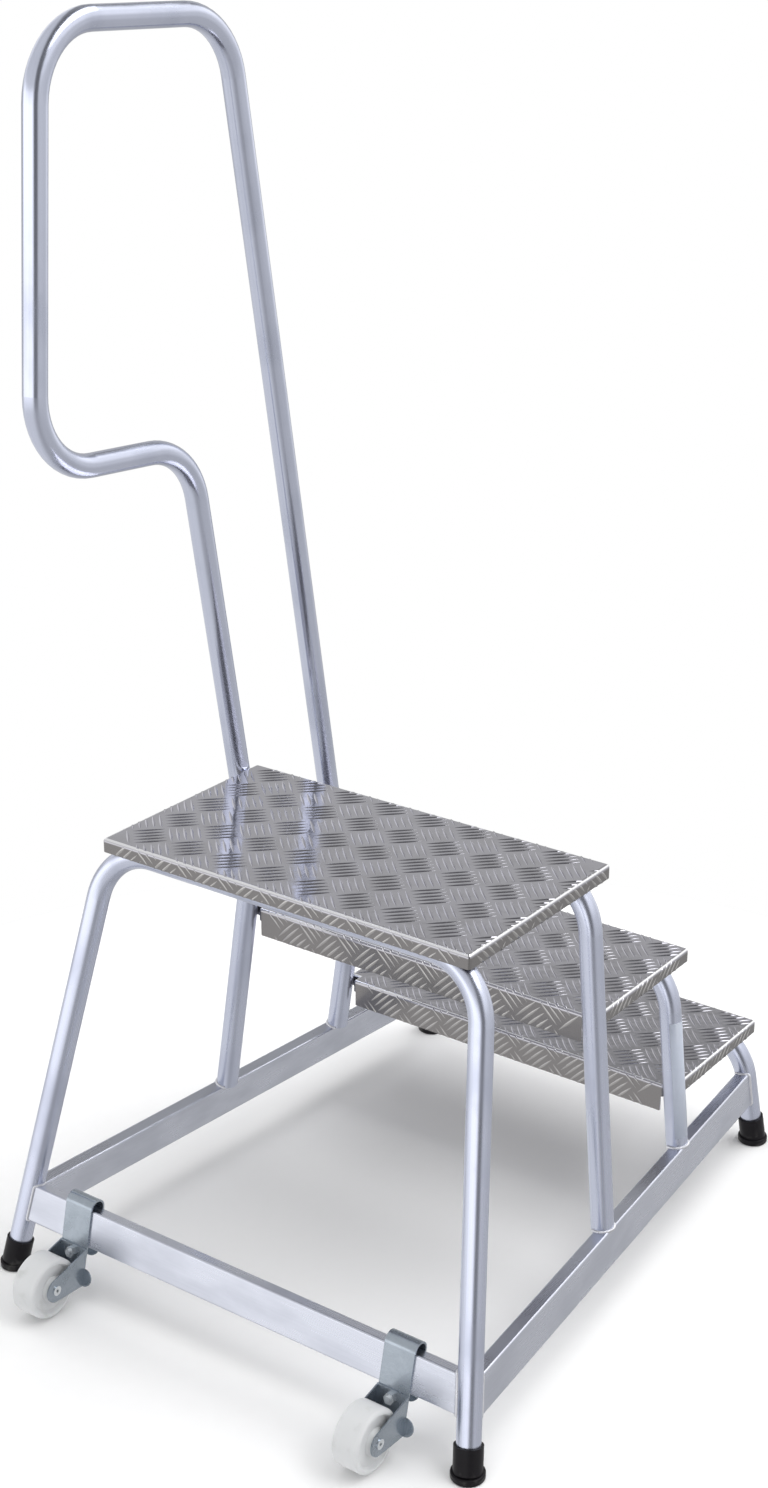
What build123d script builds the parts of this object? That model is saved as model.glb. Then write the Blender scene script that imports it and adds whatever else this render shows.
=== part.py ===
import os
from math import atan2, cos, sin
from typing import NamedTuple

from build123d import *

os.makedirs("parts", exist_ok=True)

# Mobile work platform: three folded chequer-plate treads welded on four bent-tube hoops,
# two side rails, a rear cross rail with two fixed castors, and a one-sided handrail loop.
# Millimetres. X points to the climber's right, Y to the rear where the wheels are, Z up.

# Tube, box section and plate
TUBE_D = 30
TUBE_WALL = 2
HOOP_BEND = 80
RAIL_HEIGHT = 50
RAIL_THICK = 20
RAIL_WALL = 2
RAIL_EDGE_R = 2.5
PLATE = 3
FOLD_R = 4.5
TREAD_CORNER_R = 5
SEAT_GAP = 0.1

# Treads
TREAD_WIDTH = 554
PLATFORM_HEIGHT = 600
PLATFORM_DEPTH = 310
LOW_HEIGHT = 194
STEP_DEPTH = 242.5
STEP_OVERLAP = 23
SKIRT = 18
REAR_SKIRT = 40
NOTCH_GAP = 1.5

# Hoops: half width where the legs turn into the top tube, and how far a foot stands behind it
REAR_SHOULDER = 282
REAR_FOOT_X = 362.5
REAR_FOOT_BACK = 134.4
REAR_TUBE_GAP = 2
PLATFORM_SHOULDER = 256.5
PLATFORM_FOOT_BACK = 22
MIDDLE_SHOULDER = 255.5
MIDDLE_FOOT_BACK = 8
LOW_SHOULDER = 263
LOW_FOOT_X = 285.8
LOW_FOOT_BACK = -17.8

# Rails: heights of their axes, and how far the inner legs stand inside the side rails' axes
RAIL_Z = 91
CROSS_RAIL_Z = 95
LEG_INSET = 7

# Handrail
HAND_BEND = 93
HAND_HEIGHT = 990
HAND_LOW_RUN = 462.5
HAND_SETBACK = 21.5
HAND_FRONT_LEAN = 0.182
HAND_REAR_LEAN = -0.075
HAND_REAR_Y = 413.5
HAND_TOP_RISE = 0.023
HAND_LOW_RISE = 0.065
HAND_DROP = 12

# Rubber feet
FOOT_BASE = 7
FOOT_SLEEVE_D = 36
FOOT_SLEEVE_TOP = 40
FOOT_FLANGE_D = 42
FOOT_FLANGE_H = 9
FOOT_EDGE_R = 2

# Castors
CASTOR_X = 254
WHEEL_D = 80
WHEEL_WIDTH = 37
WHEEL_EDGE_R = 4
WHEEL_DISH = 4
WHEEL_RIM = 6
WHEEL_HUB_D = 26
WHEEL_FLOOR_GAP = 3
AXLE_D = 8
AXLE_HEAD_D = 13
AXLE_HEAD_T = 1.5
AXLE_BORE = 4
AXLE_PLAY = 0.05
HUB_PLAY = 0.3
WHEEL_SIDE_GAP = 2.5
FORK_STEEL = 2
FORK_REACH = 63.5
FORK_NOSE_R = 16
FORK_EARS_W = 71
FORK_EAR_H = 23
FORK_PLATE_H = 50
FORK_DROP = 1
STRAP_STEEL = 2.5
STRAP_WIDTH = 43.5
STRAP_RISE = 1
STRAP_DROP = 20
STRAP_CORNER_R = 14
BOLT_D = 8
BOLT_DROP = 11
BOLT_HEX = 13
BOLT_HEAD_T = 5.3
NUT_T = 6.5
BOLT_END = 3
BOLT_PLAY = 0.5

# Heights and places that follow from the sizes above
TUBE_R = TUBE_D / 2
TUBE_INSET = PLATE + TUBE_R + SEAT_GAP
RAIL_TOP = RAIL_Z + RAIL_HEIGHT / 2
MIDDLE_HEIGHT = (PLATFORM_HEIGHT + LOW_HEIGHT) / 2
WHEEL_R = WHEEL_D / 2

# Places along Y counted from the platform's front edge
MIDDLE_REAR = STEP_OVERLAP
MIDDLE_FRONT = MIDDLE_REAR - STEP_DEPTH
LOW_REAR = MIDDLE_FRONT + STEP_OVERLAP
LOW_FRONT = LOW_REAR - STEP_DEPTH
REAR_TOP = PLATFORM_DEPTH - TUBE_INSET - REAR_TUBE_GAP
REAR_TOP_Z = PLATFORM_HEIGHT - TUBE_INSET
REAR_LEAN = atan2(REAR_FOOT_BACK, REAR_TOP_Z)
RAIL_BACK = REAR_TOP + REAR_FOOT_BACK * (REAR_TOP_Z - CROSS_RAIL_Z) / REAR_TOP_Z
HUB_Z = WHEEL_R + WHEEL_FLOOR_GAP
HUB_UP = (HUB_Z - CROSS_RAIL_Z - FORK_REACH * sin(REAR_LEAN)) / cos(REAR_LEAN)
HUB_BACK = RAIL_BACK + FORK_REACH * cos(REAR_LEAN) - HUB_UP * sin(REAR_LEAN)
FLANGE_BACK = LOW_FOOT_BACK * (1 - FOOT_FLANGE_H / (LOW_HEIGHT - TUBE_INSET))
REACH_FRONT = LOW_FRONT + TUBE_INSET + FLANGE_BACK - FOOT_FLANGE_D / 2
REACH_REAR = HUB_BACK + WHEEL_R
# The origin is on the floor, midway between the front feet and the back of the wheels
FRONT_EDGE = -(REACH_FRONT + REACH_REAR) / 2


class Hoop(NamedTuple):
    name: str
    top_y: float
    top_z: float
    shoulder: float
    foot_x: float
    foot_y: float
    foot_z: float


def leg_point(hoop, side, z):
    """Point at height z on the axis of one leg of a hoop."""
    t = (hoop.top_z - z) / (hoop.top_z - hoop.foot_z)
    x = hoop.shoulder + t * (hoop.foot_x - hoop.shoulder)
    return Vector(side * x, hoop.top_y + t * (hoop.foot_y - hoop.top_y), z)


def leg_plane(hoop, side, z):
    """Plane square to one leg of a hoop at height z, facing up the leg."""
    foot = leg_point(hoop, side, z)
    return Plane(origin=foot, z_dir=leg_point(hoop, side, hoop.top_z) - foot)


rear_top_y = FRONT_EDGE + REAR_TOP
low_top_y = FRONT_EDGE + LOW_FRONT + TUBE_INSET
low_top_z = LOW_HEIGHT - TUBE_INSET
hoop_rear = Hoop("hoop_rear", rear_top_y, REAR_TOP_Z, REAR_SHOULDER, REAR_FOOT_X,
                 rear_top_y + REAR_FOOT_BACK, 0)
hoop_low = Hoop("hoop_low_step", low_top_y, low_top_z, LOW_SHOULDER, LOW_FOOT_X,
                low_top_y + LOW_FOOT_BACK, 0)

# Each side rail runs from the rear leg's axis to the front leg's
rail_rear = leg_point(hoop_rear, 1, RAIL_Z)
rail_front = leg_point(hoop_low, 1, RAIL_Z)


def rail_plane(side):
    """Plane square to a side rail at its front end, with Y up along the slant of the legs."""
    front = leg_point(hoop_low, side, RAIL_Z)
    rear = leg_point(hoop_rear, side, RAIL_Z)
    up_leg = leg_point(hoop_rear, side, RAIL_TOP) - rear
    return Plane(origin=front, x_dir=up_leg.cross(rear - front), z_dir=rear - front)


def rail_x(y):
    """Half distance between the middles of the two side rails at a place along Y."""
    t = (y - rail_front.Y) / (rail_rear.Y - rail_front.Y)
    return rail_front.X + t * (rail_rear.X - rail_front.X)


def hoop_on_rails(name, tread_front, tread_height, shoulder, foot_back):
    """Hoop under a tread's front edge whose legs stand on the side rails."""
    top_y = FRONT_EDGE + tread_front + TUBE_INSET
    foot_y = top_y + foot_back
    foot_x = rail_x(foot_y) - LEG_INSET
    return Hoop(name, top_y, tread_height - TUBE_INSET, shoulder, foot_x, foot_y, RAIL_TOP)


hoop_platform = hoop_on_rails("hoop_platform", 0, PLATFORM_HEIGHT, PLATFORM_SHOULDER,
                              PLATFORM_FOOT_BACK)
hoop_middle = hoop_on_rails("hoop_middle_step", MIDDLE_FRONT, MIDDLE_HEIGHT, MIDDLE_SHOULDER,
                            MIDDLE_FOOT_BACK)


def finish(block, name):
    """Label a finished piece and write it."""
    block.part.label = name
    export_step(block.part, f"parts/{name}.step")


def hoop_run(hoop):
    """Axis of a hoop's tube: two legs and a top, in a plane that leans with the legs."""
    end_z = hoop.foot_z - TUBE_R if hoop.foot_z else FOOT_BASE
    up = Vector(0, hoop.top_y - hoop.foot_y, hoop.top_z - hoop.foot_z)
    plane = Plane(origin=(0, hoop.top_y, hoop.top_z), x_dir=(1, 0, 0), z_dir=Vector(1, 0, 0).cross(up))
    end = plane.to_local_coords(leg_point(hoop, 1, end_z))
    with BuildLine(plane) as run:
        FilletPolyline(
            (-end.X, end.Y),
            (-hoop.shoulder, 0),
            (hoop.shoulder, 0),
            (end.X, end.Y),
            radius=HOOP_BEND,
        )
    return run.line


# Bent-tube hoops: one tube each, with two bends; the inner two are cut off on the side rails' tops
for hoop in (hoop_rear, hoop_platform, hoop_middle, hoop_low):
    run = hoop_run(hoop)
    with BuildPart() as hoop_tube:
        with BuildSketch(Plane(origin=run @ 0, z_dir=run % 0)):
            Circle(TUBE_R)
            Circle(TUBE_R - TUBE_WALL, mode=Mode.SUBTRACT)
        sweep(path=run)
        if hoop.foot_z:
            for side in (1, -1):
                rail = rail_plane(side)
                rail_top = rail.origin + rail.y_dir * RAIL_HEIGHT / 2
                split(bisect_by=Plane(origin=rail_top, z_dir=rail.y_dir), keep=Keep.TOP)
    finish(hoop_tube, hoop.name)

# Treads: chequer plate folded down on all sides, notched at the back round the legs behind it
TREADS = (
    # name, top height, front edge, rear edge, rear skirt, hoop whose legs stand at the rear corners
    ("tread_platform", PLATFORM_HEIGHT, 0, PLATFORM_DEPTH, SKIRT, None),
    ("tread_middle", MIDDLE_HEIGHT, MIDDLE_FRONT, MIDDLE_REAR, REAR_SKIRT, hoop_platform),
    ("tread_low", LOW_HEIGHT, LOW_FRONT, LOW_REAR, REAR_SKIRT, hoop_middle),
)
for name, height, front, rear, rear_skirt, behind in TREADS:
    half = TREAD_WIDTH / 2
    front_y = FRONT_EDGE + front
    rear_y = FRONT_EDGE + rear
    rear_half = half
    notch_y = rear_y
    if behind:
        leg = leg_point(behind, 1, height)
        rear_half = leg.X - TUBE_R - NOTCH_GAP
        notch_y = leg.Y - TUBE_R - NOTCH_GAP
    with BuildSketch(Plane.XY.offset(height)) as outline:
        with Locations((0, (front_y + notch_y) / 2)):
            Rectangle(TREAD_WIDTH, notch_y - front_y)
        with Locations((0, (front_y + rear_y) / 2)):
            Rectangle(2 * rear_half, rear_y - front_y)
        square_end = outline.vertices().group_by(Axis.Y)
        fillet(square_end[0] + square_end[-1], TREAD_CORNER_R)
    with BuildSketch(Plane.XY.offset(height - PLATE)) as hollow:
        add(outline.sketch.moved(Location((0, 0, -PLATE))))
        offset(amount=-PLATE, mode=Mode.REPLACE)
    with BuildPart() as tread:
        extrude(outline.sketch, amount=-SKIRT)
        fillet(tread.faces().sort_by(Axis.Z)[-1].edges(), FOLD_R)
        extrude(hollow.sketch, amount=-SKIRT, mode=Mode.SUBTRACT)
        if rear_skirt > SKIRT:
            with BuildSketch(Plane.XY.offset(height - SKIRT)):
                with Locations((0, rear_y - PLATE / 2)):
                    Rectangle(2 * (rear_half - TREAD_CORNER_R), PLATE)
            extrude(amount=SKIRT - rear_skirt)
    finish(tread, name)

# Side rails: box section slanted like the legs, with both ends coped round them
for name, side in (("side_rail_right", 1), ("side_rail_left", -1)):
    with BuildPart() as side_rail:
        with BuildSketch(rail_plane(side)):
            RectangleRounded(RAIL_THICK, RAIL_HEIGHT, RAIL_EDGE_R)
            Rectangle(RAIL_THICK - 2 * RAIL_WALL, RAIL_HEIGHT - 2 * RAIL_WALL, mode=Mode.SUBTRACT)
        extrude(amount=(rail_rear - rail_front).length)
        for hoop in (hoop_rear, hoop_low):
            with BuildSketch(leg_plane(hoop, side, RAIL_Z)):
                Circle(TUBE_R + SEAT_GAP)
            extrude(amount=RAIL_HEIGHT, both=True, mode=Mode.SUBTRACT)
    finish(side_rail, name)

# Rear cross rail: the same section, lying in the plane of the rear hoop
lean_up = Vector(0, -sin(REAR_LEAN), cos(REAR_LEAN))
lean_back = Vector(0, cos(REAR_LEAN), sin(REAR_LEAN))
rail_mid = Vector(0, FRONT_EDGE + RAIL_BACK, CROSS_RAIL_Z)
with BuildPart() as cross_rail:
    with BuildSketch(Plane(origin=rail_mid, x_dir=lean_back, z_dir=(1, 0, 0))):
        RectangleRounded(RAIL_THICK, RAIL_HEIGHT, RAIL_EDGE_R)
        Rectangle(RAIL_THICK - 2 * RAIL_WALL, RAIL_HEIGHT - 2 * RAIL_WALL, mode=Mode.SUBTRACT)
    extrude(amount=leg_point(hoop_rear, 1, CROSS_RAIL_Z).X, both=True)
    for side in (1, -1):
        with BuildSketch(leg_plane(hoop_rear, side, CROSS_RAIL_Z)):
            Circle(TUBE_R + SEAT_GAP)
        extrude(amount=RAIL_HEIGHT, both=True, mode=Mode.SUBTRACT)
finish(cross_rail, "cross_rail_rear")

# Handrail: one tube with four bends, standing against the right-hand edges of two treads
HAND_X = TREAD_WIDTH / 2 + TUBE_R + SEAT_GAP


def corner(upright, run):
    """Point where an upright y = y0 + k (z - z0) meets a run z = z0 + m (y - y0)."""
    upright_y, upright_z, lean = upright
    run_y, run_z, rise = run
    y = (upright_y + lean * (run_z - rise * run_y - upright_z)) / (1 - lean * rise)
    return (y, run_z + rise * (y - run_y))


def at_height(upright, z):
    """Point of an upright at height z."""
    upright_y, upright_z, lean = upright
    return (upright_y + lean * (z - upright_z), z)


hand_step = (FRONT_EDGE + MIDDLE_FRONT + HAND_SETBACK, MIDDLE_HEIGHT, HAND_FRONT_LEAN)
hand_platform = (FRONT_EDGE + HAND_SETBACK, PLATFORM_HEIGHT, HAND_FRONT_LEAN)
hand_rear = (FRONT_EDGE + HAND_REAR_Y, PLATFORM_HEIGHT, HAND_REAR_LEAN)
hand_middle_y = FRONT_EDGE + PLATFORM_DEPTH / 2
hand_top = (hand_middle_y, PLATFORM_HEIGHT + HAND_HEIGHT - TUBE_R, HAND_TOP_RISE)
hand_low = (hand_middle_y, PLATFORM_HEIGHT + HAND_LOW_RUN, HAND_LOW_RISE)
with BuildPart() as handrail:
    with BuildLine(Plane(origin=(HAND_X, 0, 0), x_dir=(0, 1, 0), z_dir=(1, 0, 0))) as run:
        FilletPolyline(
            at_height(hand_step, MIDDLE_HEIGHT - SKIRT - HAND_DROP),
            corner(hand_step, hand_top),
            corner(hand_rear, hand_top),
            corner(hand_rear, hand_low),
            corner(hand_platform, hand_low),
            at_height(hand_platform, PLATFORM_HEIGHT - SKIRT - HAND_DROP),
            radius=HAND_BEND,
        )
    with BuildSketch(Plane(origin=run.line @ 0, z_dir=run.line % 0)):
        Circle(TUBE_R)
        Circle(TUBE_R - TUBE_WALL, mode=Mode.SUBTRACT)
    sweep()
finish(handrail, "handrail")

# Rubber feet: a level flange on the floor and a sleeve that follows the leg
FEET = (
    # name, hoop, side
    ("foot_rear_right", hoop_rear, 1),
    ("foot_rear_left", hoop_rear, -1),
    ("foot_front_right", hoop_low, 1),
    ("foot_front_left", hoop_low, -1),
)
for name, hoop, side in FEET:
    with BuildPart() as foot:
        with BuildSketch(Plane(origin=leg_point(hoop, side, FOOT_FLANGE_H))):
            Circle(FOOT_FLANGE_D / 2)
        extrude(amount=-FOOT_FLANGE_H)
        fillet(foot.edges().filter_by(GeomType.CIRCLE), FOOT_EDGE_R)
        with BuildSketch(leg_plane(hoop, side, FOOT_BASE)):
            Circle(FOOT_SLEEVE_D / 2)
        extrude(amount=FOOT_SLEEVE_TOP - FOOT_BASE)
        with BuildSketch(leg_plane(hoop, side, FOOT_BASE)):
            Circle(TUBE_R + SEAT_GAP)
        extrude(amount=FOOT_SLEEVE_TOP, mode=Mode.SUBTRACT)
    finish(foot, name)

# Castors: a strap hooked over the cross rail, a pressed fork bolted to it, and a moulded wheel.
# Here "out" is square to the cross rail towards the rear, and "up" follows its lean.
strap_in = RAIL_THICK / 2
strap_out = strap_in + STRAP_STEEL
strap_top = RAIL_HEIGHT / 2 + STRAP_RISE
strap_low = -RAIL_HEIGHT / 2 - STRAP_DROP
bolt_up = -RAIL_HEIGHT / 2 - BOLT_DROP
fork_out = strap_out + FORK_STEEL
plate_mid = -RAIL_HEIGHT / 2 - FORK_DROP - FORK_PLATE_H / 2
cheek_in = WHEEL_WIDTH / 2 + WHEEL_SIDE_GAP
cheek_out = cheek_in + FORK_STEEL
for end, side in (("right", 1), ("left", -1)):
    middle = rail_mid + Vector(side * CASTOR_X, 0, 0)
    flank = Plane(origin=middle, x_dir=lean_back, z_dir=(1, 0, 0))
    facing = Plane(origin=middle, x_dir=(-1, 0, 0), z_dir=lean_back)
    hub = flank.from_local_coords(Vector(FORK_REACH, HUB_UP, 0))
    hub_plane = Plane(origin=hub, x_dir=(0, 1, 0), z_dir=(1, 0, 0))

    with BuildPart() as strap:
        with BuildSketch(flank):
            with BuildLine():
                Line((strap_out, strap_low), (strap_out, strap_top))
                ThreePointArc((strap_out, strap_top), (0, strap_top + strap_out), (-strap_out, strap_top))
                Line((-strap_out, strap_top), (-strap_out, strap_low))
                Line((-strap_out, strap_low), (-strap_in, strap_low))
                Line((-strap_in, strap_low), (-strap_in, strap_top))
                ThreePointArc((-strap_in, strap_top), (0, strap_top + strap_in), (strap_in, strap_top))
                Line((strap_in, strap_top), (strap_in, strap_low))
                Line((strap_in, strap_low), (strap_out, strap_low))
            make_face()
        extrude(amount=STRAP_WIDTH / 2, both=True)
        fillet(strap.edges().filter_by(Axis((0, 0, 0), lean_back)), STRAP_CORNER_R)
        with BuildSketch(facing):
            with Locations((0, bolt_up)):
                Circle(BOLT_D / 2 + BOLT_PLAY)
        extrude(amount=2 * strap_out, both=True, mode=Mode.SUBTRACT)
    finish(strap, f"strap_{end}")

    with BuildPart() as fork:
        with BuildSketch(facing.offset(strap_out)):
            with Locations((0, plate_mid)):
                Rectangle(2 * cheek_out, FORK_PLATE_H)
            with Locations((0, plate_mid - (FORK_PLATE_H - FORK_EAR_H) / 2)):
                SlotOverall(FORK_EARS_W, FORK_EAR_H)
            with Locations((0, bolt_up)):
                Circle(BOLT_D / 2 + BOLT_PLAY, mode=Mode.SUBTRACT)
        extrude(amount=FORK_STEEL)
        for cheek_side in (1, -1):
            with BuildSketch(flank.offset(cheek_side * cheek_in)):
                with BuildLine():
                    Line((strap_out, plate_mid + FORK_PLATE_H / 2), (strap_out, plate_mid - FORK_PLATE_H / 2))
                    CenterArc((FORK_REACH, HUB_UP), FORK_NOSE_R, 0, 360)
                make_hull()
                with Locations((FORK_REACH, HUB_UP)):
                    Circle(AXLE_D / 2 + AXLE_PLAY, mode=Mode.SUBTRACT)
            extrude(amount=cheek_side * FORK_STEEL)
    finish(fork, f"fork_{end}")

    with BuildPart() as bolt:
        with BuildSketch(facing.offset(-strap_out)):
            with Locations((0, bolt_up)):
                RegularPolygon(BOLT_HEX / 2, 6, major_radius=False)
        extrude(amount=-BOLT_HEAD_T)
        with BuildSketch(facing.offset(-strap_out)):
            with Locations((0, bolt_up)):
                Circle(BOLT_D / 2)
        extrude(amount=strap_out + fork_out + NUT_T + BOLT_END)
    finish(bolt, f"clamp_bolt_{end}")

    with BuildPart() as nut:
        with BuildSketch(facing.offset(fork_out)):
            with Locations((0, bolt_up)):
                RegularPolygon(BOLT_HEX / 2, 6, major_radius=False)
                Circle(BOLT_D / 2 + AXLE_PLAY, mode=Mode.SUBTRACT)
        extrude(amount=NUT_T)
    finish(nut, f"clamp_nut_{end}")

    with BuildPart() as axle:
        with BuildSketch(hub_plane):
            Circle(AXLE_D / 2)
        extrude(amount=cheek_out, both=True)
        for head_side in (1, -1):
            with BuildSketch(hub_plane.offset(head_side * cheek_out)):
                Circle(AXLE_HEAD_D / 2)
            extrude(amount=head_side * AXLE_HEAD_T)
        with BuildSketch(hub_plane):
            Circle(AXLE_BORE / 2)
        extrude(amount=cheek_out + AXLE_HEAD_T, both=True, mode=Mode.SUBTRACT)
    finish(axle, f"axle_{end}")

    # Half section of the wheel, across the tread in X and out from the axle in Y
    bore_r = AXLE_D / 2 + AXLE_PLAY
    hub_half = cheek_in - HUB_PLAY
    rim_in = WHEEL_R - WHEEL_RIM
    web_half = WHEEL_WIDTH / 2 - WHEEL_DISH
    with BuildPart() as wheel:
        with BuildSketch(Plane(origin=hub, x_dir=(1, 0, 0), z_dir=(0, 0, 1))) as section:
            with BuildLine():
                Polyline(
                    (0, bore_r),
                    (hub_half, bore_r),
                    (hub_half, WHEEL_HUB_D / 2),
                    (web_half, WHEEL_HUB_D / 2 + WHEEL_DISH),
                    (web_half, rim_in - WHEEL_DISH),
                    (WHEEL_WIDTH / 2, rim_in),
                    (WHEEL_WIDTH / 2, WHEEL_R),
                    (0, WHEEL_R),
                    close=True,
                )
            make_face()
            mirror(about=Plane.YZ)
            fillet(section.vertices().group_by(Axis.Y)[-1], WHEEL_EDGE_R)
        revolve(axis=Axis(hub, (1, 0, 0)))
    finish(wheel, f"wheel_{end}")
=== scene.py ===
from itertools import product
from math import ceil, cos, pi, radians, sin, sqrt

import bmesh
import bpy
from mathutils import Matrix, Quaternion, Vector


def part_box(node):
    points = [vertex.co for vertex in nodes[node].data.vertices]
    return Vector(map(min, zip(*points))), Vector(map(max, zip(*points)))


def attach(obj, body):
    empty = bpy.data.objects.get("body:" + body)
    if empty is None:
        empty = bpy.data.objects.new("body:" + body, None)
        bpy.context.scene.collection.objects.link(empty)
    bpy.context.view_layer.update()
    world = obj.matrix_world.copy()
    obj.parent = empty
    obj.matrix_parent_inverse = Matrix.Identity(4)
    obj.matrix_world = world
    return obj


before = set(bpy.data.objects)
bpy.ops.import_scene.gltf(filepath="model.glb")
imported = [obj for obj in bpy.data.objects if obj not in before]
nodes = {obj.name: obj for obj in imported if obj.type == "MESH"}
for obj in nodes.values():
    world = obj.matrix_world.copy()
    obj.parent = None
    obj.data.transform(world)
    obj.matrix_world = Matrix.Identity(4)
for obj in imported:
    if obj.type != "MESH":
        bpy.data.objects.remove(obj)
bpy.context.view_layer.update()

# Four hoops of drawn aluminium tube, 30 by 2 mm, each bent twice in one plane that leans with its
# legs. The tube is left mill-bright: fine drawing lines run along it, and hands leave dull smudges.


class Wire:
    """A value in a material's node tree. Sums and products of wires become Math nodes."""

    def __init__(self, tree, socket):
        self.tree = tree
        self.socket = socket

    def node(self, kind, settings, values, out=0):
        """A new node of this tree: its settings, then values or wires for its sockets."""
        made = self.tree.nodes.new(kind)
        for name, value in settings.items():
            setattr(made, name, value)
        for place, value in values.items():
            if isinstance(value, Wire):
                self.tree.links.new(value.socket, made.inputs[place])
            else:
                made.inputs[place].default_value = value
        return Wire(self.tree, made.outputs[out])

    def maths(self, operation, first, second):
        """A Math node on two values or wires."""
        return self.node("ShaderNodeMath", {"operation": operation}, {0: first, 1: second})

    def __add__(self, other):
        return self.maths("ADD", self, other)

    def __radd__(self, other):
        return self.maths("ADD", other, self)

    def __sub__(self, other):
        return self.maths("SUBTRACT", self, other)

    def __rsub__(self, other):
        return self.maths("SUBTRACT", other, self)

    def __mul__(self, other):
        return self.maths("MULTIPLY", self, other)

    def __rmul__(self, other):
        return self.maths("MULTIPLY", other, self)

    def step(self, low, high):
        """0 below low, 1 above high, smooth between them."""
        ramp = {"interpolation_type": "SMOOTHSTEP"}
        return self.node("ShaderNodeMapRange", ramp, {0: self, 1: low, 2: high})

    def along(self, way):
        """How far this place lies along a direction."""
        return self.node("ShaderNodeVectorMath", {"operation": "DOT_PRODUCT"}, {0: self, 1: way}, 1)

    def noise(self, scale, detail=2):
        """Noise at this place, stretched by a scale for each axis."""
        place = self.node("ShaderNodeMapping", {}, {0: self, 3: scale})
        return self.node("ShaderNodeTexNoise", {}, {"Vector": place, "Scale": 1, "Detail": detail})

    def colour(self, none, full):
        """A colour between two, by this value. The first may be a wire."""
        start = none if isinstance(none, Wire) else (*none, 1)
        ends = {0: self, 6: start, 7: (*full, 1)}
        return self.node("ShaderNodeMix", {"data_type": "RGBA"}, ends, 2)

    def bump(self, depth):
        """A normal that follows this value as a height, in metres at full."""
        return self.node("ShaderNodeBump", {}, {"Strength": 1, "Distance": depth, "Height": self})


def new_finish(name):
    """A material, and the place of a point on the object as a wire of its tree."""
    finish = bpy.data.materials.new(name)
    finish.use_nodes = True
    place = finish.node_tree.nodes.new("ShaderNodeTexCoord").outputs["Object"]
    return finish, Wire(finish.node_tree, place)


def coat(finish, values):
    """Set or link the sockets of a material's shader."""
    shader = finish.node_tree.nodes["Principled BSDF"]
    for name, value in values.items():
        if isinstance(value, Wire):
            finish.node_tree.links.new(value.socket, shader.inputs[name])
        else:
            shader.inputs[name].default_value = value


def paint(finish, *names):
    """Put a material in the slots of CAD nodes."""
    for name in names:
        for place in nodes[name].material_slots:
            place.material = finish


TUBE_R = 0.015
TUBE_BRIGHT = (0.60, 0.63, 0.75)
TUBE_DULL = (0.49, 0.52, 0.63)
TUBE_LINES = 420
TUBE_LINE_DEPTH = 0.00003
HOOP_ROUGHNESS = 0.22


def tube_finish(name, across, roughness):
    """Drawn tube: lines at even distances from the plane of its bends, and smudges."""
    finish, place = new_finish(name)
    strips = {"W": place.along(across) * TUBE_LINES, "Scale": 1, "Detail": 3}
    lines = place.node("ShaderNodeTexNoise", {"noise_dimensions": "1D"}, strips)
    smudges = place.noise((14, 14, 9), 4).step(0.45, 0.7)
    coat(finish, {
        "Metallic": 1,
        "Base Color": (smudges * 0.6 + lines * 0.3).colour(TUBE_BRIGHT, TUBE_DULL),
        "Roughness": roughness + smudges * 0.10 + lines * 0.10,
        "Normal": (lines + place.noise((90, 90, 90)) * 0.4).bump(TUBE_LINE_DEPTH),
    })
    return finish


def cut_points(name, z):
    """Points of a CAD node's surface at height z."""
    cut = bmesh.new()
    cut.from_mesh(nodes[name].data)
    everything = cut.verts[:] + cut.edges[:] + cut.faces[:]
    found = bmesh.ops.bisect_plane(cut, geom=everything, plane_co=(0, 0, z), plane_no=(0, 0, 1))
    points = [p.co.copy() for p in found["geom_cut"] if isinstance(p, bmesh.types.BMVert)]
    cut.free()
    return points


def leg_middle(name, side, z):
    """Middle of one leg of a hoop where it is cut at height z."""
    points = [p for p in cut_points(name, z) if p.x * side > 0]
    xs = [p.x for p in points]
    ys = [p.y for p in points]
    return Vector(((min(xs) + max(xs)) / 2, (min(ys) + max(ys)) / 2, z))


# Name, and two heights between which its legs are straight
HOOPS = (
    ("hoop_rear", 0.06, 0.40),
    ("hoop_platform", 0.15, 0.45),
    ("hoop_middle_step", 0.14, 0.27),
    ("hoop_low_step", 0.045, 0.085),
)
legs = {}
for name, low, high in HOOPS:
    for side in (1, -1):
        foot = leg_middle(name, side, low)
        legs[name, side] = (foot, (leg_middle(name, side, high) - foot).normalized())
    lean = legs[name, 1][1]
    across = Vector((0, lean.z, -lean.y)).normalized()
    paint(tube_finish(name, across, HOOP_ROUGHNESS), name)


def leg_at(name, side, z):
    """Point at height z on the axis of a hoop's leg."""
    foot, way = legs[name, side]
    return foot + way * ((z - foot.z) / way.z)


# Three treads of rolled five-bar chequer plate, 3 mm thick, edges folded down and corners welded.
# The raised bars stand in fives, each five square to its neighbours, and run over the folds and
# down the skirts to the cut edge.
PLATE_TOP = (0.46, 0.455, 0.505)
# Painted shade: the skirts, and the bars on them, are coloured darker than the top, standing in for
# the dark floor they mirror.
PLATE_SKIRT_PAINTED_SHADE = (0.26, 0.25, 0.25)
BAR_SKIRT_PAINTED_SHADE = (0.41, 0.40, 0.395)
# Painted highlight: a pale line along each fold stands in for the light the rounded fold catches.
PLATE_FOLD_HIGHLIGHT = (0.85, 0.85, 0.87)
PLATE_GRAIN_DEPTH = 0.00008
BAR_LENGTH = 0.0430
BAR_WIDTH = 0.0040
BAR_HEIGHT = 0.0009
BAR_PITCH = 0.009
BAR_SUNK = 0.15
BAR_TAPER = 0.45
BAR_SLANT = pi / 4
CELL_X = 0.0644
CELL_Y = 0.0623
FOLD_R = 0.0045
SKIRT = 0.018
LONG_SKIRT = 0.040
NOTCH = TUBE_R + 0.0015
CORNER_R = 0.005
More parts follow.
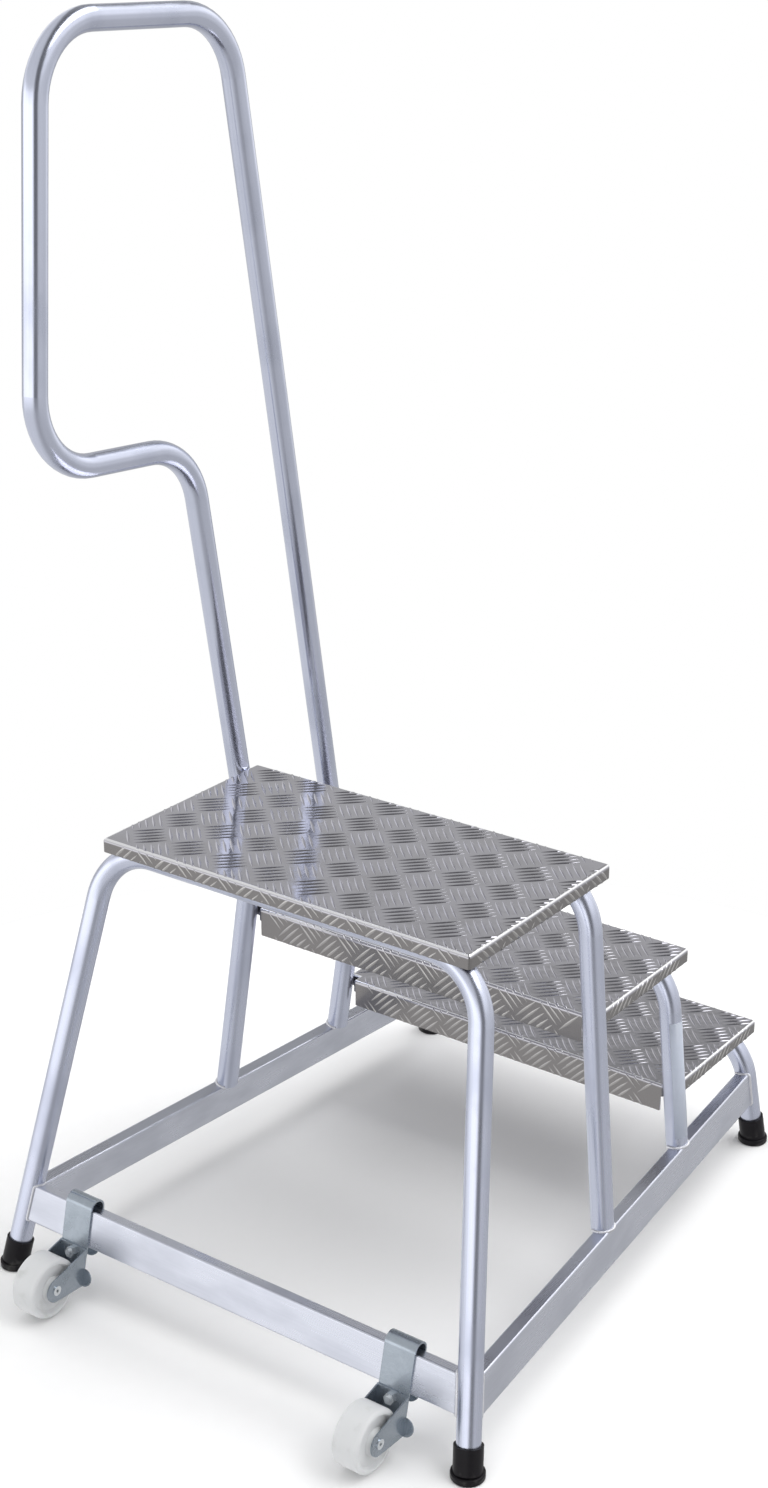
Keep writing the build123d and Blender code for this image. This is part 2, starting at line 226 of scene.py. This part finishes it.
# Depths under a tread's top between which the skirt's painted shade and the painted highlight along
# the folds come in or go
SKIRT_COMES = (0.002, 0.006)
FOLD_HIGHLIGHT_COMES = (-0.0001, 0.0002)
FOLD_HIGHLIGHT_GOES = (0.0008, 0.0030)


def fold(along, edge, height):
    """Place of a point of the flat sheet once its edge is folded: along the sheet, and down."""
    past = along - (edge - FOLD_R)
    if past <= 0:
        return along, height
    turn = min(past / FOLD_R, pi / 2)
    below = past - turn * FOLD_R
    reach = edge - FOLD_R + (FOLD_R + height) * sin(turn)
    return reach, (FOLD_R + height) * cos(turn) - FOLD_R - below


def sheet_length(skirt):
    """How much sheet lies beyond the start of a fold down to the skirt's cut edge."""
    return FOLD_R * pi / 2 + skirt - FOLD_R


stamp = bpy.data.meshes.new("stamp")


def add_copy(target, shape, matrix):
    """Add a copy of a small shape to a mesh that may already be large."""
    copy = shape.copy()
    copy.transform(matrix)
    copy.to_mesh(stamp)
    copy.free()
    target.from_mesh(stamp)


def plate_finish(name, top, skirt_painted_shade):
    """Rolled plate whose top lies at a height, with a painted highlight along its folds and painted
    shade on its skirts.
    """
    finish, place = new_finish(name)
    depth = top - place.along((0, 0, 1))
    skirt_part = depth.step(*SKIRT_COMES)
    # A painted highlight: a pale line along the folds, where the rounded edge would catch the
    # light.
    fold_highlight = depth.step(*FOLD_HIGHLIGHT_COMES) * (1 - depth.step(*FOLD_HIGHLIGHT_GOES))
    grain = place.noise((900, 60, 900), 2)
    clouds = place.noise((22, 22, 22), 5).step(0.38, 0.68)
    waves = place.noise((75, 75, 75), 1)
    # The skirts' darker colour is painted shade.
    colour = (skirt_part + clouds * 0.25).colour(PLATE_TOP, skirt_painted_shade)
    coat(finish, {
        "Metallic": 1,
        "Base Color": fold_highlight.colour(colour, PLATE_FOLD_HIGHLIGHT),
        "Roughness": 0.06 + clouds * 0.05 + grain * 0.03 + skirt_part * 0.10,
        "Normal": (grain * 0.15 + clouds * 0.3 + waves * 1.8).bump(PLATE_GRAIN_DEPTH),
    })
    return finish


def new_piece(name, shape, finish):
    """A new object of the scene, from its finished shape and its material."""
    mesh = bpy.data.meshes.new(name)
    shape.to_mesh(mesh)
    shape.free()
    mesh.materials.append(finish)
    piece = bpy.data.objects.new(name, mesh)
    bpy.context.scene.collection.objects.link(piece)
    return piece


# One raised bar: a lens in plan, pointed at both ends, rounded on top down to a crease, flat below
bar = bmesh.new()
lying = Matrix.Rotation(pi / 2, 4, "Y")
bmesh.ops.create_uvsphere(bar, u_segments=8, v_segments=8, radius=1, matrix=lying)
for point in bar.verts:
    x, y, z = point.co
    taper = max(1 - x * x, 0) ** BAR_TAPER
    sunk = 1 if z > 0 else BAR_SUNK
    point.co = (x * BAR_LENGTH / 2, y * taper * BAR_WIDTH / 2, z * taper * BAR_HEIGHT * sunk)
for face in bar.faces:
    face.smooth = True
for edge in bar.edges:
    edge.smooth = any(abs(point.co.z) > BAR_HEIGHT / 1000 for point in edge.verts)

# Tread, hoop at its rear corners, middle of one cluster along X and Y
TREADS = (
    ("tread_platform", None, 0.0410, -0.0106),
    ("tread_middle", "hoop_platform", -0.1232, -0.1030),
    ("tread_low", "hoop_middle_step", -0.1210, -0.3940),
)
for name, behind, start_x, start_y in TREADS:
    low, high = (Vector(corner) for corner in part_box(name))
    half = (high.x - low.x) / 2
    top = high.z
    rear_skirt = LONG_SKIRT if behind else SKIRT
    notch_x = half
    notch_y = high.y
    if behind:
        corner = leg_at(behind, 1, top)
        notch_x = corner.x - NOTCH
        notch_y = corner.y - NOTCH

    paint(plate_finish(name, top, PLATE_SKIRT_PAINTED_SHADE), name)

    side_end = half - FOLD_R + sheet_length(SKIRT)
    front_end = low.y + FOLD_R - sheet_length(SKIRT)
    rear_end = high.y - FOLD_R + sheet_length(rear_skirt)
    reach = BAR_LENGTH / 2 * cos(BAR_SLANT)
    bars = bmesh.new()
    # Columns and rows enough for a metre to either side, five bars to a cluster, both slants
    columns = range(-ceil(1 / CELL_X), ceil(1 / CELL_X))
    rows = range(-ceil(1 / CELL_Y), ceil(1 / CELL_Y))
    for i, j, n, turn in product(columns, rows, range(-2, 3), (1, -1)):
        shift = 0 if turn == 1 else 0.5
        x = start_x + (i + shift) * CELL_X + n * BAR_PITCH * cos(BAR_SLANT) * turn
        y = start_y + (j + shift) * CELL_Y - n * BAR_PITCH * cos(BAR_SLANT)
        if abs(x) > side_end + reach or not front_end - reach < y < rear_end + reach:
            continue
        beyond_x = abs(x) + reach - (half - FOLD_R)
        beyond_y = max(y + reach - (high.y - FOLD_R), low.y + FOLD_R - (y - reach))
        if beyond_x > 0 and beyond_y > 0:
            continue
        if behind and y + reach > notch_y - FOLD_R and abs(x) + reach > notch_x - CORNER_R:
            continue
        stand = Matrix.Translation((x, y, 0)) @ Matrix.Rotation(turn * BAR_SLANT, 4, "Z")
        add_copy(bars, bar, stand)
    for spot, outward in (((side_end, 0, 0), (1, 0, 0)), ((-side_end, 0, 0), (-1, 0, 0)),
                          ((0, front_end, 0), (0, -1, 0)), ((0, rear_end, 0), (0, 1, 0))):
        everything = bars.verts[:] + bars.edges[:] + bars.faces[:]
        cut = bmesh.ops.bisect_plane(
            bars, geom=everything, plane_co=spot, plane_no=outward, clear_outer=True)
        rim = [e for e in cut["geom_cut"] if isinstance(e, bmesh.types.BMEdge)]
        bmesh.ops.holes_fill(bars, edges=rim)
    for point in bars.verts:
        x, y, z = point.co
        if abs(x) > half - FOLD_R:
            across, z = fold(abs(x), half, z)
            x = across if x > 0 else -across
        elif y > high.y - FOLD_R:
            y, z = fold(y, high.y, z)
        elif y < low.y + FOLD_R:
            across, z = fold(-y, -low.y, z)
            y = -across
        point.co = (x, y, top + z)
    bmesh.ops.recalc_face_normals(bars, faces=bars.faces)
    piece = new_piece(name + "_bars", bars, plate_finish(name + "_bars", top, BAR_SKIRT_PAINTED_SHADE))
    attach(piece, "platform")
bar.free()

# Side rails and rear cross rail: extruded aluminium box section, 50 by 20 by 2 mm, sawn and coped
# to fit round the legs. The die leaves lines along the faces; they are duller than the tube.
RAIL_BRIGHT = (0.64, 0.66, 0.74)
RAIL_DULL = (0.53, 0.55, 0.62)
RAIL_LINE_DEPTH = 0.00003
# Rail, and how its lines are stretched along it
RAILS = (
    ("side_rail_right", (500, 5, 500)),
    ("side_rail_left", (500, 5, 500)),
    ("cross_rail_rear", (5, 500, 500)),
)
for name, stretch in RAILS:
    finish, place = new_finish(name)
    lines = place.noise(stretch, 3)
    clouds = place.noise((11, 11, 30), 4).step(0.4, 0.7)
    coat(finish, {
        "Metallic": 1,
        "Base Color": (clouds * 0.6 + lines * 0.4).colour(RAIL_BRIGHT, RAIL_DULL),
        "Roughness": 0.22 + clouds * 0.10 + lines * 0.10,
        "Normal": lines.bump(RAIL_LINE_DEPTH),
    })
    paint(finish, name)

# Weld beads: aluminium laid by hand in small overlapping coins, round the ends of the rails, where
# the inner legs stand on the side rails, and up both sides of the handrail's contact.
BEAD_R = 0.0026
BEAD_STEP = 0.0017
BEAD_UNEVEN = 0.12
BEAD_WAVE = 0.37
BEAD_FLAT = 0.7
WELD_BRIGHT = (0.80, 0.81, 0.85)
WELD_DULL = (0.62, 0.62, 0.66)
WELD_GRAIN_DEPTH = 0.0002
RAIL_Z = 0.091
CROSS_RAIL_Z = 0.095
RAIL_HALF_HEIGHT = 0.025
RAIL_HALF_THICK = 0.010
RAIL_EDGE_R = 0.0025
RAIL_MARGIN = 0.001
OUTLINE_STEP = 0.002
HALF_RING_STEPS = 60
# Where the handrail's beads lie: off the tread's edge, to either side, and from which depth down
CONTACT_OUT = 0.0012
CONTACT_SIDE = 0.0062
CONTACT_TOP = 0.004
CONTACT_MIDDLE = 0.011
CONTACT_LEAN = (0.0010, -0.0015)
coin = bmesh.new()
bmesh.ops.create_uvsphere(coin, u_segments=8, v_segments=5, radius=1)
beads = bmesh.new()


def lay(path):
    """Lay coins of weld at even steps along a path."""
    gone = 0
    for start, end in zip(path, path[1:]):
        way = end - start
        turn = way.to_track_quat("Z", "Y").to_matrix().to_4x4()
        while gone < way.length:
            size = BEAD_R * (1 + BEAD_UNEVEN * sin(len(beads.verts) * BEAD_WAVE))
            flat = Matrix.Diagonal((size, size, size * BEAD_FLAT, 1))
            spot = Matrix.Translation(start + way.normalized() * gone)
            add_copy(beads, coin, spot @ turn @ flat)
            gone += BEAD_STEP
        gone -= way.length


def rail_outline():
    """Points round a box section's outline: across it and up it."""
    points = []
    flat_across = RAIL_HALF_THICK - RAIL_EDGE_R
    flat_up = RAIL_HALF_HEIGHT - RAIL_EDGE_R
    for across, up, start in ((1, 1, 0), (-1, 1, pi / 2), (-1, -1, pi), (1, -1, 3 * pi / 2)):
        middle = Vector((across * flat_across, up * flat_up))
        for n in range(4):
            turn = start + n * pi / 6
            points.append(middle + RAIL_EDGE_R * Vector((cos(turn), sin(turn))))
    points.append(points[0])
    dense = [points[0]]
    for start, end in zip(points, points[1:]):
        count = max(1, ceil((end - start).length / OUTLINE_STEP))
        dense += [start.lerp(end, (n + 1) / count) for n in range(count)]
    return dense


def coped_end(axis, leg, across, up):
    """Path round a rail's end where it meets a leg. The axis is a point and a direction."""
    point, way = axis
    foot, lean = leg
    path = []
    for offset in rail_outline():
        start = point + across * offset.x + up * offset.y
        side_way = way - lean * way.dot(lean)
        side_start = (start - foot) - lean * (start - foot).dot(lean)
        a = side_way.length_squared
        b = side_way.dot(side_start)
        c = side_start.length_squared - TUBE_R ** 2
        inside = b * b - a * c
        if inside > 0:
            path.append(start + way * ((-b - sqrt(inside)) / a))
    return path


for side in (1, -1):
    rear = leg_at("hoop_rear", side, RAIL_Z)
    front = leg_at("hoop_low_step", side, RAIL_Z)
    way = (rear - front).normalized()
    across = legs["hoop_rear", side][1].cross(way).normalized()
    up = way.cross(across)
    if up.z < 0:
        up = -up
    middle = (rear + front) / 2
    lay(coped_end((middle, way), legs["hoop_rear", side], across, up))
    lay(coped_end((middle, -way), legs["hoop_low_step", side], across, up))
    for name in ("hoop_platform", "hoop_middle_step"):
        foot, lean = legs[name, side]
        rail_top = middle + up * RAIL_HALF_HEIGHT
        stand = foot + lean * ((rail_top - foot).dot(up) / lean.dot(up))
        off = (stand - rail_top).dot(across)
        for facing in (1, -1):
            path = []
            for n in range(HALF_RING_STEPS + 1):
                turn = n * pi / HALF_RING_STEPS
                if abs(off + TUBE_R * cos(turn)) < RAIL_HALF_THICK + RAIL_MARGIN:
                    path.append(stand + TUBE_R * (across * cos(turn) + way * sin(turn) * facing))
            lay(path)
    rear_leg = legs["hoop_rear", side]
    cross_up = Vector((0, rear_leg[1].y, rear_leg[1].z)).normalized()
    cross_across = Vector((1, 0, 0)).cross(cross_up)
    cross_middle = leg_at("hoop_rear", side, CROSS_RAIL_Z)
    cross_middle.x = 0
    lay(coped_end((cross_middle, Vector((side, 0, 0))), rear_leg, cross_across, cross_up))
for tread in ("tread_platform", "tread_middle"):
    high = Vector(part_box(tread)[1])
    ys = [point.y for point in cut_points("handrail", high.z - CONTACT_MIDDLE)]
    # Both uprights pass the platform, and the one behind ends there. One is left lower down.
    touch_y = max(ys) - TUBE_R if tread == "tread_platform" else (min(ys) + max(ys)) / 2
    for facing in (1, -1):
        x = high.x + CONTACT_OUT
        top_y, end_y = (touch_y + facing * CONTACT_SIDE + lean for lean in CONTACT_LEAN)
        lay([Vector((x, top_y, high.z - CONTACT_TOP)), Vector((x, end_y, high.z - SKIRT))])
coin.free()
bmesh.ops.recalc_face_normals(beads, faces=beads.faces)
finish, place = new_finish("weld")
clouds = place.noise((120, 120, 120), 3)
coat(finish, {
    "Metallic": 1,
    "Base Color": clouds.colour(WELD_BRIGHT, WELD_DULL),
    "Roughness": 0.2 + clouds * 0.2,
    "Normal": clouds.bump(WELD_GRAIN_DEPTH),
})
piece = new_piece("weld_beads", beads, finish)
piece.data.shade_smooth()
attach(piece, "platform")

# Handrail: one length of the same tube with four bends, welded against the right-hand edges of the
# platform and the middle step. Its drawing lines lie at even distances from the plane of its bends.
HANDRAIL_ROUGHNESS = 0.13
paint(tube_finish("handrail", (1, 0, 0), HANDRAIL_ROUGHNESS), "handrail")

# Rubber feet: black moulded rubber pushed over the leg ends, shiny where it was moulded and a
# little dusty round the flange.
RUBBER = (0.012, 0.011, 0.013)
RUBBER_DUSTY = (0.06, 0.058, 0.056)
RUBBER_GRAIN_DEPTH = 0.0001
DUST_HEIGHTS = (0.004, 0.03)
finish, place = new_finish("rubber")
near_floor = 1 - place.along((0, 0, 1)).step(*DUST_HEIGHTS)
dust = place.noise((60, 60, 60), 4).step(0.5, 0.75) * near_floor
coat(finish, {
    "Base Color": dust.colour(RUBBER, RUBBER_DUSTY),
    "Roughness": 0.27 + dust * 0.3 + place.noise((200, 200, 200)) * 0.08,
    "Normal": place.noise((350, 350, 350)).bump(RUBBER_GRAIN_DEPTH),
    "Specular IOR Level": 0.10,
})
paint(finish, "foot_rear_right", "foot_rear_left", "foot_front_right", "foot_front_left")

# Castor brackets: pressed steel strap and fork, bolt, nut and tubular rivet, all zinc plated and
# clear passivated, so the grey is a little blue and mottled. The small turned pieces are brighter
# zinc, and are coloured paler still as a painted highlight against the shaded pocket of the fork.
ZINC_GRAIN_DEPTH = 0.0001
# Finish, its pieces, and its colours
ZINC = (
    ("pressed", ("strap", "fork"), (0.40, 0.445, 0.50), (0.28, 0.32, 0.365)),
    # The turned pieces' pale colours are partly a painted highlight.
    ("turned", ("clamp_bolt", "clamp_nut", "axle"), (0.82, 0.85, 0.88), (0.64, 0.68, 0.72)),
)
for name, pieces, bright, dull in ZINC:
    finish, place = new_finish("zinc_" + name)
    mottle = place.noise((70, 70, 70), 5)
    patches = place.noise((25, 25, 40), 3).step(0.4, 0.65)
    coat(finish, {
        "Metallic": 0.85,
        "Base Color": (mottle * 0.7 + patches * 0.3).colour(bright, dull),
        "Roughness": 0.16 + mottle * 0.12 + patches * 0.06,
        "Normal": place.noise((260, 260, 260)).bump(ZINC_GRAIN_DEPTH),
    })
    paint(finish, *(f"{piece}_{end}" for piece in pieces for end in ("right", "left")))

# Wheels: moulded in one piece from natural nylon, milky and a little see-through at thin edges,
# with faint turning marks round the tread.
NYLON = (0.65, 0.66, 0.67)
NYLON_SCUFFED = (0.56, 0.57, 0.57)
NYLON_MARK_DEPTH = 0.00005
NYLON_GLOW = 0.006
for end in ("right", "left"):
    finish, place = new_finish("nylon_" + end)
    marks = place.noise((900, 12, 12), 2)
    scuffs = place.noise((45, 45, 45), 4).step(0.52, 0.75)
    coat(finish, {
        "Base Color": scuffs.colour(NYLON, NYLON_SCUFFED),
        "Roughness": 0.30 + scuffs * 0.15 + marks * 0.06,
        "Normal": marks.bump(NYLON_MARK_DEPTH),
        "Subsurface Weight": 0.35,
        "Subsurface Radius": (NYLON_GLOW, NYLON_GLOW, NYLON_GLOW),
        "Subsurface Scale": 1,
    })
    paint(finish, "wheel_" + end)

# Sticker: a blank label of plastic film with an adhesive back, pressed round the outer side of the
# left leg under the middle step.
STICKER_LOW = 0.128
STICKER_HIGH = 0.295
STICKER_HALF_TURN = radians(50)
STICKER_THICK = 0.00015
STICKER_OFF_TUBE = 0.0001
STICKER_STEPS = 24
STICKER_FACES = Vector((-1, 0.35, 0))
FILM_DARK = (0.43, 0.47, 0.56)
FILM_PALE = (0.50, 0.54, 0.63)
label = bmesh.new()
lean = legs["hoop_middle_step", -1][1]
outward = (STICKER_FACES - lean * STICKER_FACES.dot(lean)).normalized()
sideways = lean.cross(outward)
low = leg_at("hoop_middle_step", -1, STICKER_LOW)
high = leg_at("hoop_middle_step", -1, STICKER_HIGH)
first = outward * cos(STICKER_HALF_TURN) - sideways * sin(STICKER_HALF_TURN)
radius = TUBE_R + STICKER_OFF_TUBE
edge = [label.verts.new(end + first * radius) for end in (low, high)]
line = label.edges.new(edge)
bmesh.ops.spin(label, geom=edge + [line], cent=low, axis=lean,
               angle=2 * STICKER_HALF_TURN, steps=STICKER_STEPS)
bmesh.ops.recalc_face_normals(label, faces=label.faces)
bmesh.ops.solidify(label, geom=label.faces[:], thickness=STICKER_THICK)
finish, place = new_finish("sticker")
film = place.noise((60, 60, 60), 3)
coat(finish, {
    "Base Color": film.colour(FILM_DARK, FILM_PALE),
    "Roughness": 0.28 + film * 0.1,
})
piece = new_piece("sticker", label, finish)
piece.data.shade_smooth()
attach(piece, "platform")

# Floor: a pale round sheet of matt card that the object stands on, wide enough for its shadow. The
# metal doesn't mirror it, because the low part of the studio's light stands in for it.
FLOOR_R = 1.15
FLOOR_PALE = (0.95, 0.95, 0.95)
FLOOR_SPECKLE = (0.93, 0.93, 0.93)
floor = bmesh.new()
bmesh.ops.create_circle(floor, cap_ends=True, radius=FLOOR_R, segments=96)
finish, place = new_finish("floor")
speckle = place.noise((40, 40, 40), 2)
coat(finish, {"Base Color": speckle.colour(FLOOR_SPECKLE, FLOOR_PALE), "Roughness": 0.9})
ground = new_piece("floor", floor, finish)
ground.visible_glossy = False

# Light: a studio with pale screens left, right and beyond the object as the camera sees it, a
# bright panel high over its front left corner, and a dim room elsewhere. A wide lamp overhead
# lights the floor and what is matt, and isn't mirrored. Past the floor the camera sees white.
LEFT = (0.809, 0.588, 0)
RIGHT = (-0.809, -0.588, 0)
FAR = (0.588, -0.809, 0)
FRONT_LEFT = (-0.707, -0.707, 0)
UP = (0, 0, 1)
DIM_ROOM = 0.19
PANEL = 3.00
LAMP_SIZE = 5
LAMP_HEIGHT = 6
LAMP_POWER = 110
world = bpy.data.worlds.new("studio")
world.use_nodes = True
tree = world.node_tree
sky = Wire(tree, tree.nodes.new("ShaderNodeTexCoord").outputs["Generated"])
rise = sky.along(UP)
left = sky.along(LEFT)
right = sky.along(RIGHT)
far = sky.along(FAR)
beyond = far.step(0.10, 0.60)
band = 1 - rise.step(0.12, 0.35)
left_screen = (0.62 + 0.90 * band) * left.step(-0.05, 0.22) * (1 - beyond)
far_left_screen = 0.50 * left.step(0.13, 0.20) * beyond * rise.step(0.04, 0.12)
right_screen = (0.60 + 0.40 * rise.step(0.10, 0.40)) * right.step(0.40, 0.62)
far_screen = 0.39 * far.step(0.22, 0.75) * (1 - 0.60 * rise.step(0.435, 0.50))
panel = PANEL * sky.along(FRONT_LEFT).step(0.31, 0.35) * rise.step(0.64, 0.72)
room = DIM_ROOM + left_screen + far_left_screen + right_screen + far_screen + panel
below = 0.52 + 0.34 * left.step(-0.20, 0.50) + 0.10 * right.step(0.30, 0.60)
low = 1 - rise.step(-0.36, -0.06)
screens = room * (1 - low) + below * low
path = sky.node("ShaderNodeLightPath", {}, {})
outputs = path.socket.node.outputs
white = Wire(tree, outputs["Is Camera Ray"]) + Wire(tree, outputs["Is Transmission Ray"])
shown = white.node("ShaderNodeMix", {"data_type": "FLOAT"}, {0: white, 2: screens, 3: 1.0})
back = tree.nodes["Background"]
back.inputs["Color"].default_value = (1, 1, 1, 1)
tree.links.new(shown.socket, back.inputs["Strength"])
bpy.context.scene.world = world
overhead = bpy.data.lights.new("overhead", "AREA")
overhead.shape = "DISK"
overhead.size = LAMP_SIZE
overhead.energy = LAMP_POWER
lamp = bpy.data.objects.new("overhead", overhead)
lamp.location = (0, 0, LAMP_HEIGHT)
lamp.visible_glossy = False
bpy.context.scene.collection.objects.link(lamp)
bpy.context.scene.view_settings.view_transform = "Standard"

# Camera: a 55 mm lens at eye height behind the castors, on the side away from the handrail. The
# picture is 768 by 1488, and its middle lies a few pixels off the lens axis.
PICTURE_HEIGHT = 1488
SENSOR = 36
FOCAL_PIXELS = 2272.8
LENS_AXIS_RIGHT = -10.65
LENS_AXIS_UP = 2.92
AZIMUTH = radians(216.018)
ELEVATION = radians(21.363)
ROLL = radians(0.082)
STAND = Vector((-1.5300, 2.18725, 1.7503))
backward = Vector((sin(AZIMUTH) * cos(ELEVATION), -cos(AZIMUTH) * cos(ELEVATION), sin(ELEVATION)))
lens = bpy.data.cameras.new("camera")
lens.sensor_width = SENSOR
lens.lens = SENSOR * FOCAL_PIXELS / PICTURE_HEIGHT
lens.shift_x = -LENS_AXIS_RIGHT / PICTURE_HEIGHT
lens.shift_y = -LENS_AXIS_UP / PICTURE_HEIGHT
camera = bpy.data.objects.new("camera", lens)
camera.rotation_mode = "QUATERNION"
camera.rotation_quaternion = (-backward).to_track_quat("-Z", "Y") @ Quaternion((0, 0, 1), ROLL)
camera.location = STAND
bpy.context.scene.collection.objects.link(camera)
bpy.context.scene.camera = camera
